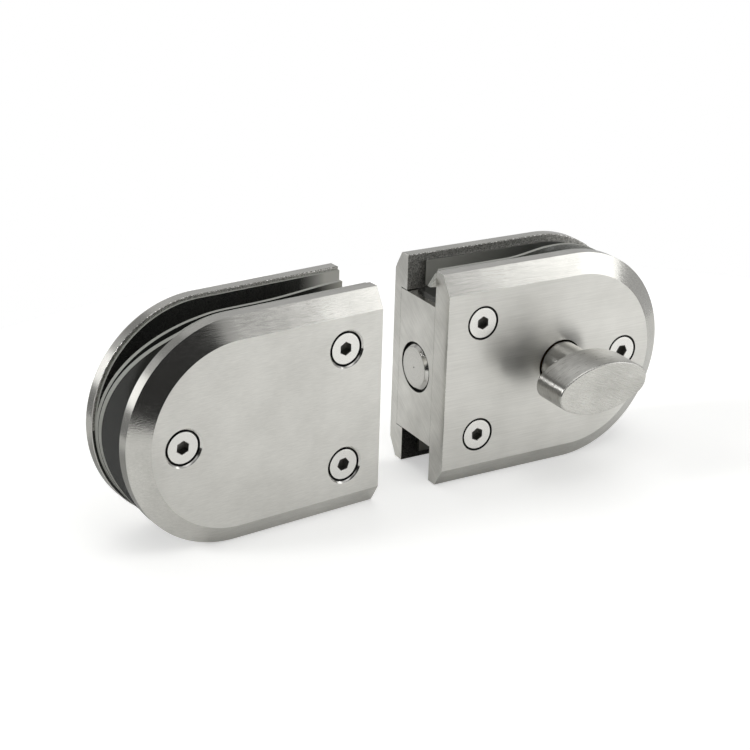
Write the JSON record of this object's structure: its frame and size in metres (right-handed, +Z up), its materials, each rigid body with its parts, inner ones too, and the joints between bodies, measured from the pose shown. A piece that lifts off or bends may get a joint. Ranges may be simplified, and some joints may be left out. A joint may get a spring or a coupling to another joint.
{
  "type": "patch lock",
  "caption": "Steel patch lock for two frameless glass leaves: plates clamp the glass round a block, and an oval thumb turn throws a round bolt into the keeper half.",
  "frame": {"origin": "middle of the overall outline, on the surface that both halves stand on", "axes": "+X from the keeper half to the lock half, along the lock half's plates; +Y from the thumb turn to the back plates; +Z up"},
  "size_m": [0.2066, 0.0588, 0.075],
  "materials": {
    "plate_steel": "satin brushed",
    "block_steel": "satin brushed",
    "screw_steel": "bright turned",
    "bolt_steel": "bright turned",
    "knob_steel": "polished and brushed",
    "spindle_steel": "plain turned",
    "bronze": "plain turned",
    "nylon": "matt",
    "gasket": "translucent"
  },
  "bodies": {
    "root": {"lock_front_plate": "plate_steel", "lock_back_plate": "plate_steel", "lock_block": "block_steel", "lock_front_gasket": "gasket", "lock_spare_gasket": "gasket", "lock_back_gasket": "gasket", "lock_edge_liner": "gasket", "lock_screw_top": "screw_steel", "lock_screw_bottom": "screw_steel", "lock_screw_end": "screw_steel", "spindle_bush": "bronze", "friction_washer": "nylon", "keeper_front_plate": "plate_steel", "keeper_back_plate": "plate_steel", "keeper_block": "block_steel", "keeper_front_gasket": "gasket", "keeper_spare_gasket": "gasket", "keeper_back_gasket": "gasket", "keeper_edge_liner": "gasket", "keeper_screw_top": "screw_steel", "keeper_screw_bottom": "screw_steel", "keeper_screw_end": "screw_steel"},
    "thumb_turn": {"thumb_knob": "knob_steel", "turn_spindle": "spindle_steel", "crank_disc": "spindle_steel", "crank_pin": "spindle_steel", "knob_grub_screw": "spindle_steel"},
    "bolt": {"bolt": "bolt_steel"}
  },
  "joints": [
    {"name": "turn", "type": "hinge", "parent": "root", "child": "thumb_turn", "pos_m": [0.05969, -0.0047, 0.0375], "axis": [0, -1, 0], "range_deg": [0, 90]},
    {"name": "bolt_throw", "type": "slide", "parent": "root", "child": "bolt", "axis": [-1, 0, 0], "range_m": [0, 0.01132]}
  ],
  "couplings": [
    {"joint": "bolt_throw", "follows": "turn", "m_per_rad": 0.0072}
  ]
}
